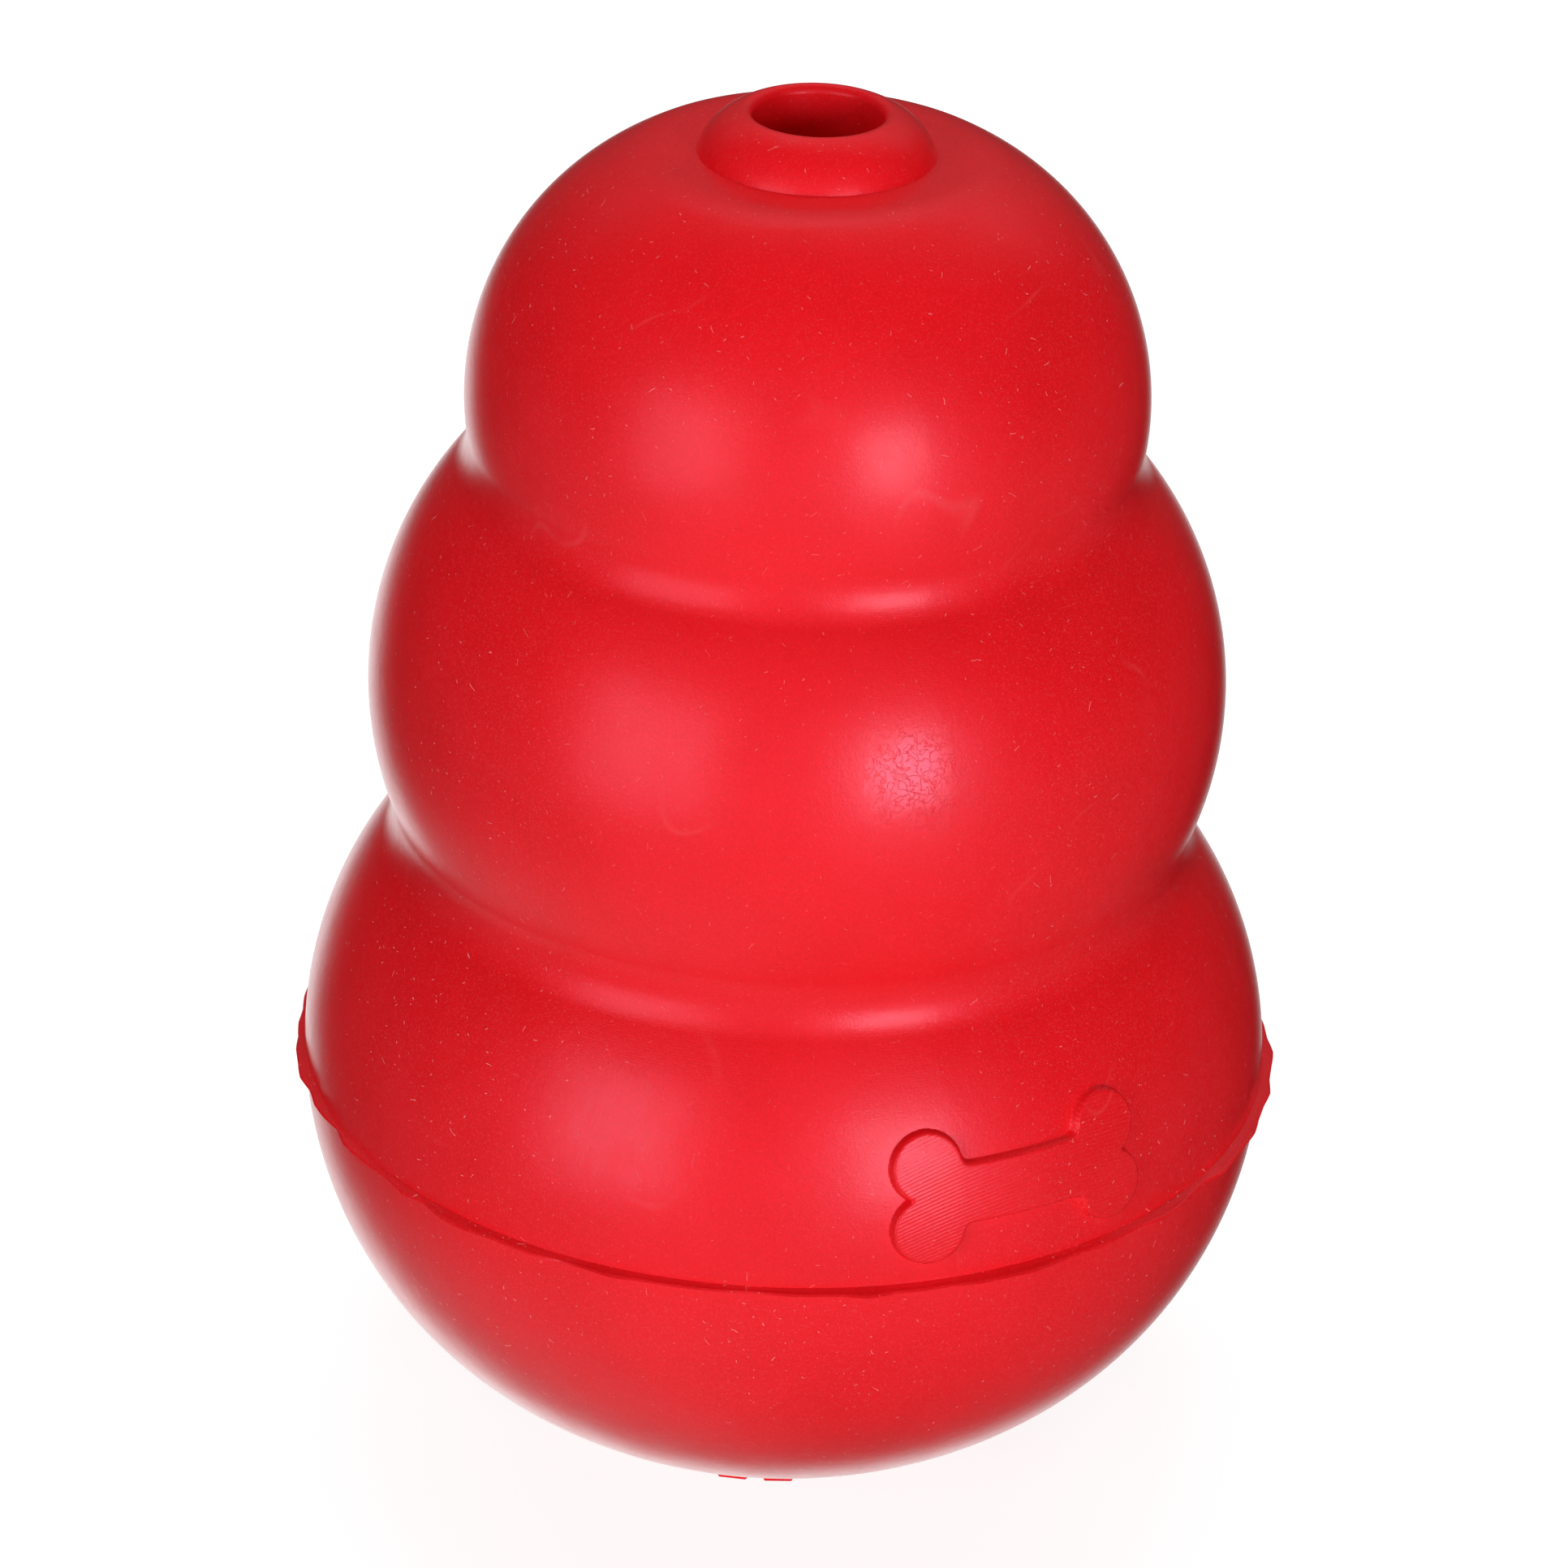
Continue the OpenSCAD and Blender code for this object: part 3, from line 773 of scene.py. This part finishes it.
class AddFlash(bpy.types.Operator):
    """Add the ragged fin of flash at the parting line"""
    bl_idname = "chew_toy.add_flash"
    bl_label = "Flash"

    # Waves of the edge, as the CAD has them: count round the toy, share and phase
    WAVES = ((1, 0.20, 110), (7, 0.12, 230), (17, 0.10, 70), (37, 0.05, 110))
    # Slope of the top, as shares of the fin's width and of its rise
    SLOPE = ((0.60, 0.12), (0.35, 0.38), (0.12, 0.74))
    # Seeds of the torn edge's width and of its droop, and the noise's step between corners
    WIDTH_SEED, DROOP_SEED, CORNER_STEP = 7.3, 2.6, 1.7

    def torn(self, f, a, seed):
        """Random wander of the torn edge, which runs straight between its corners."""
        place = (a % tau) / tau * f.corners
        start = int(place)
        near, far = (noise.noise(Vector((self.CORNER_STEP * (k % f.corners), seed, 0.4)))
                     for k in (start, start + 1))
        return near + (far - near) * (place - start)

    def reach(self, f, a):
        """Width of the fin at an azimuth."""
        wave = sum(part * sin(count * a + radians(phase)) for count, part, phase in self.WAVES)
        return f.flash_w * (1 + wave) + f.ragged * self.torn(f, a, self.WIDTH_SEED)

    def execute(self, context):
        s, f = context.scene.toy_lobes, context.scene.toy_flash
        body = Moulding(context.scene)
        edge = s.base_r + f.flash_w
        low = s.parting_z - f.flash_t
        top = s.parting_z
        bm = bmesh.new()
        line = Outline(bm, s.base_r - f.root_depth, low)
        line.line(s.base_r, low)
        line.line(edge - f.bead, top - f.edge_t)
        line.line(edge, top - f.edge_t + f.bead)
        line.line(edge - f.lean, top - f.bead)
        line.line(edge - f.lean - f.bead, top)
        for wide, rise in self.SLOPE:
            line.line(s.base_r + wide * f.flash_w, top + rise * f.root_rise)
        line.line(body.base.level(top + f.root_rise).x - 0.4 * PLAY, top + f.root_rise)
        line.line(s.base_r - f.root_depth, top + f.root_rise)
        line.close()
        turn_round(bm, f.round_steps)
        for v in bm.verts:
            r = hypot(v.co.x, v.co.y)
            out = (r - s.base_r) / f.flash_w
            if out > 0:
                a = atan2(v.co.y, v.co.x)
                wide = s.base_r + out * self.reach(f, a)
                v.co.x, v.co.y = wide * cos(a), wide * sin(a)
                v.co.z += f.droop * out * out * self.torn(f, a, self.DROOP_SEED)
        finish = rubber("thin_rubber", "flash_red")
        finish_piece(bm, "flash_fin", finish, "parting_flash", slot="flash_rubber", sharp=60)
        return {"FINISHED"}


class AddEmblem(bpy.types.Operator):
    """Add the plain raised bone on the base lobe"""
    bl_idname = "chew_toy.add_emblem"
    bl_label = "Bone emblem"

    def inside(self, e, x, y):
        """Distance inside the outline of a bone along X, below zero outside."""
        spread = e.knob_r * e.knob_spread
        knobs = e.knob_r - hypot(abs(x) - e.bone_l / 2, abs(y) - spread)
        shaft = min(e.bone_w / 2 - abs(y), e.bone_l / 2 - abs(x))
        # A smooth maximum rounds the inner corners
        k = e.inner_round
        blend = max(k - abs(knobs - shaft), 0.0) / k
        return max(knobs, shaft) + blend * blend * k * 0.25

    def execute(self, context):
        s, e = context.scene.toy_lobes, context.scene.toy_emblem
        body = Moulding(context.scene)
        # The grid reaches past the bone by a margin, and is cut off outside a brim
        margin, brim = 4 * e.cell, 1.5 * e.cell
        # Dip of the side walls' foot under the lobe, and the share of their run that is outside
        dip, before = 0.04 * MM, 0.35
        half_x = e.bone_l / 2 + e.knob_r + margin
        half_y = e.knob_r * (1 + e.knob_spread) + margin
        bm = bmesh.new()
        bmesh.ops.create_grid(bm, x_segments=round(2 * half_x / e.cell),
                              y_segments=round(2 * half_y / e.cell), size=1.0,
                              matrix=Matrix.Diagonal((half_x, half_y, 1, 1)))
        for v in bm.verts:
            v.co.z = self.inside(e, v.co.x, v.co.y)
        outside = [face for face in bm.faces if max(v.co.z for v in face.verts) < -brim]
        bmesh.ops.delete(bm, geom=outside, context="FACES")
        flat = bmesh.ops.extrude_face_region(bm, geom=bm.faces[:])
        under = {g for g in flat["geom"] if isinstance(g, bmesh.types.BMVert)}
        centre = Vector((body.base.centre.x, 0, body.base.centre.y))
        spin = Quaternion(UP, e.azimuth)
        face_r = centre.x + s.base_arc * cos(e.tilt)
        for v in bm.verts:
            x, y, depth = v.co
            if v in under:
                high = -SINK
            else:
                t = min(max(depth / e.wall_run + before, 0.0), 1.0)
                high = (e.height + dip) * t * t * (3 - 2 * t) - dip
            # Local x runs round the lobe and y runs up its face
            up = e.tilt + y / (s.base_arc + e.height)
            r = s.base_arc + high
            p = centre + Vector((r * cos(up), 0, r * sin(up)))
            v.co = spin @ (Quaternion(UP, x / face_r) @ p)
        finish = rubber("bone_rubber", tool_marks=context.scene.toy_rubber.tool_marks)
        finish_piece(bm, "bone_raised", finish, "bone_emblem", sharp=80)
        return {"FINISHED"}


class AddMarks(bpy.types.Operator):
    """Add the two short raised bars beside the lip"""
    bl_idname = "chew_toy.add_marks"
    bl_label = "Base marks"

    def execute(self, context):
        m = context.scene.toy_marks
        body = Moulding(context.scene)
        mark_r = body.foot_r + m.gap
        tilt = -acos((mark_r - body.bowl.centre.x) / body.bowl.radius)
        turn = m.pitch / mark_r
        size = Matrix.Diagonal((m.mark_l, m.mark_w, m.height + SINK, 1))
        lay = Matrix.Rotation(TOP, 4, "Y")
        seat = Matrix.Translation((body.bowl.radius + (m.height - SINK) / 2, 0, 0))
        down = Matrix.Rotation(-tilt, 4, "Y")
        out = Matrix.Translation((body.bowl.centre.x, 0, body.bowl.centre.y))
        bm = bmesh.new()
        for side in (-1, 1):
            earlier = set(bm.verts)
            made = bmesh.ops.create_cube(bm, size=1.0, matrix=size)
            edges = list({e for v in made["verts"] for e in v.link_edges})
            round_edges(bm, edges, m.rounding, 3)
            verts = [v for v in bm.verts if v not in earlier]
            turned = Matrix.Rotation(m.azimuth + side * turn / 2, 4, "Z")
            bmesh.ops.transform(bm, matrix=turned @ out @ down @ seat @ lay, verts=verts)
        finish_piece(bm, "marks_raised", red_rubber(), "base_marks")
        return {"FINISHED"}


class AddStage(bpy.types.Operator):
    """Add the floor, the lamps, the background and the camera"""
    bl_idname = "chew_toy.add_stage"
    bl_label = "Stage"

    FLOOR_RADIUS, FLOOR_SIDES = 6.0, 96
    SENSOR_MM, NEAREST = 36.0, 0.01
    # Point inside the toy that the lamps face, and their distance
    LAMP_AIM, LAMP_DISTANCE = Vector((0, 0, 0.05)), 1.0
    # Name, azimuth from the front towards the right, elevation, width, height and power
    LAMPS = (
        ("key_lamp", 28, 9, 0.36, 0.4, "key"),
        ("key_glint", 28, 7, 0.36, 0.4, "key_glint"),
        ("fill_lamp", -38, 10, 0.62, 0.66, "fill"),
        ("fill_glint", -38, 8, 0.62, 0.66, "fill_glint"),
        ("top_lamp", 180, 65, 0.6, 0.6, "top"),
        ("back_left_lamp", -140, 40, 0.5, 0.5, "back"),
        ("back_right_lamp", 140, 40, 0.5, 0.5, "back"),
    )
    # Parts of the table in the shine. Each edge is an axis of the ray's heading, with the
    # values where the part starts and is full.
    TABLE_BEHIND = ((0, -0.60, -0.38), (0, 0.36, 0.10), (1, 0.40, 0.64), (2, -0.20, -0.36))
    TABLE_LEFT = ((2, -0.45, -0.75), (0, 0.15, -0.3))
    # Rest of the room: heading, cosines where it starts and is full, and brightness
    ROOM = (
        ((0, -1, 0), 0.3, 0.95, "front_room"),
        ((0, 0, -1), 0.5, 0.95, "table"),
        ((0, 0.96, 0.28), 0.6, 1.0, "wall"),
        ((0, 0, 1), 0.0, 0.6, "ceiling"),
    )

    def seen_directly(self, t):
        """1 for a ray that sees the plain background."""
        ray = t.add("ShaderNodeLightPath").outputs
        return t.math("MAXIMUM", ray["Is Camera Ray"],
                      t.math("MAXIMUM", ray["Is Glossy Ray"], ray["Is Transmission Ray"]))

    def floor(self, settings):
        """Round floor that shows as white, with the toy's faint shadow."""
        bm = bmesh.new()
        bmesh.ops.create_circle(bm, cap_ends=True, segments=self.FLOOR_SIDES,
                                radius=self.FLOOR_RADIUS)
        mesh = bpy.data.meshes.new("floor")
        bm.to_mesh(mesh)
        bm.free()
        material = bpy.data.materials.new("floor_white")
        t = Nodes(material)
        bounce, shade = (t.add("ShaderNodeBsdfDiffuse", {"Color": (grey, grey, grey, 1)})
                         for grey in (settings.floor_bounce, settings.floor_shade))
        glow = t.add("ShaderNodeEmission", {"Color": (1, 1, 1, 1),
                                            "Strength": settings.floor_white})
        seen = t.add("ShaderNodeAddShader", {0: shade.outputs[0], 1: glow.outputs[0]})
        mixed = t.add("ShaderNodeMixShader", {0: self.seen_directly(t), 1: bounce.outputs[0],
                                              2: seen.outputs[0]})
        t.add("ShaderNodeOutputMaterial", {"Surface": mixed.outputs[0]})
        mesh.materials.append(material)
        floor = bpy.data.objects.new("floor", mesh)
        # The rubber mirrors the room instead
        floor.visible_glossy = False
        bpy.context.scene.collection.objects.link(floor)

    def aimed(self, name, data, at, aim, roll=0.0):
        """Object of a lamp or camera at a place, which faces a point."""
        made = bpy.data.objects.new(name, data)
        made.location = at
        made.rotation_mode = "QUATERNION"
        made.rotation_quaternion = (aim - at).to_track_quat("-Z", "Y") @ Quaternion(UP, roll)
        bpy.context.scene.collection.objects.link(made)
        return made

    def soft_box(self, name, azimuth, elevation, width, height, power, mirrored):
        """A lamp that only lights the toy or is only mirrored in it."""
        light = bpy.data.lights.new(name, "AREA")
        light.shape = "RECTANGLE"
        light.size, light.size_y, light.energy = width, height, power
        if mirrored:
            light.color = bpy.context.scene.toy_stage.glint
        a, e = radians(azimuth), radians(elevation)
        back = Vector((sin(a) * cos(e), -cos(a) * cos(e), sin(e)))
        lamp = self.aimed(name, light, self.LAMP_AIM + self.LAMP_DISTANCE * back, self.LAMP_AIM)
        lamp.visible_camera = False
        lamp.visible_glossy = mirrored
        lamp.visible_diffuse = not mirrored

    def part(self, t, axes, edges):
        """Mask of the headings that are inside all of some edges."""
        mask = 1.0
        for axis, starts, full in edges:
            mask = t.math("MULTIPLY", mask, t.ramp(axes[axis], starts, full))
        return mask

    def room(self, settings):
        """World that is white to the camera and a dim room to the rubber."""
        world = bpy.data.worlds.new("white_room")
        t = Nodes(world)
        towards = t.add("ShaderNodeTexCoord").outputs["Generated"]
        axes = t.add("ShaderNodeSeparateXYZ", {0: towards}).outputs
        left = t.math("MULTIPLY", self.part(t, axes, self.TABLE_LEFT), settings.near_left)
        mirror = t.math("MULTIPLY_ADD", self.part(t, axes, self.TABLE_BEHIND), settings.pale, left)
        for way, low, high, bright in self.ROOM:
            shown = t.ramp(t.dot(towards, way), low, high, 0.0, getattr(settings, bright))
            mirror = t.math("ADD", mirror, shown)
        ray = t.add("ShaderNodeLightPath").outputs
        mirror = t.math("MAXIMUM", mirror, ray["Is Camera Ray"])
        strength = t.add("ShaderNodeMix", {0: self.seen_directly(t), 2: 0.0, 3: mirror},
                         data_type="FLOAT").outputs[0]
        sky = t.add("ShaderNodeBackground", {"Color": (1, 1, 1, 1), "Strength": strength})
        t.add("ShaderNodeOutputWorld", {"Surface": sky.outputs[0]})
        return world

    def execute(self, context):
        scene = context.scene
        g = scene.toy_stage
        scene.view_settings.view_transform = "Standard"
        self.floor(g)
        for *lamp, power in self.LAMPS:
            self.soft_box(*lamp, getattr(g, power), mirrored=power.endswith("_glint"))
        scene.world = self.room(g)
        view = bpy.data.cameras.new("camera")
        view.lens, view.sensor_width, view.clip_start = g.lens, self.SENSOR_MM, self.NEAREST
        scene.camera = self.aimed("camera", view, Vector(g.lens_at), Vector(g.aim), g.roll)
        return {"FINISHED"}


class ChewToyPanel(bpy.types.Panel):
    """Lists the toy's pieces and sizes"""
    bl_idname = "VIEW3D_PT_chew_toy"
    bl_label = "Chew toy"
    bl_space_type = "VIEW_3D"
    bl_region_type = "UI"
    bl_category = "Chew toy"

    def draw(self, context):
        for operator in OPERATORS:
            self.layout.operator(operator.bl_idname)
        for name, group in GROUPS.items():
            box = self.layout.box()
            box.label(text=group.__doc__)
            for prop in group.__annotations__:
                box.prop(getattr(context.scene, name), prop)


OPERATORS = (AddLobes, AddBowl, AddCollar, AddFlash, AddEmblem, AddMarks, AddStage)
GROUPS = {
    "toy_lobes": LobeSizes,
    "toy_hollow": HollowSizes,
    "toy_collar": CollarSizes,
    "toy_flash": FlashSizes,
    "toy_emblem": EmblemSizes,
    "toy_marks": MarkSizes,
    "toy_rubber": RubberLooks,
    "toy_stage": StageSettings,
}
CLASSES = (*GROUPS.values(), *OPERATORS, ChewToyPanel)


def register():
    for cls in CLASSES:
        bpy.utils.register_class(cls)
    for name, group in GROUPS.items():
        setattr(bpy.types.Scene, name, PointerProperty(type=group))


def unregister():
    for name in GROUPS:
        delattr(bpy.types.Scene, name)
    for cls in reversed(CLASSES):
        bpy.utils.unregister_class(cls)


def main():
    register()
    for operator in OPERATORS:
        group, call = operator.bl_idname.split(".")
        getattr(getattr(bpy.ops, group), call)()


if __name__ == "__main__":
    main()
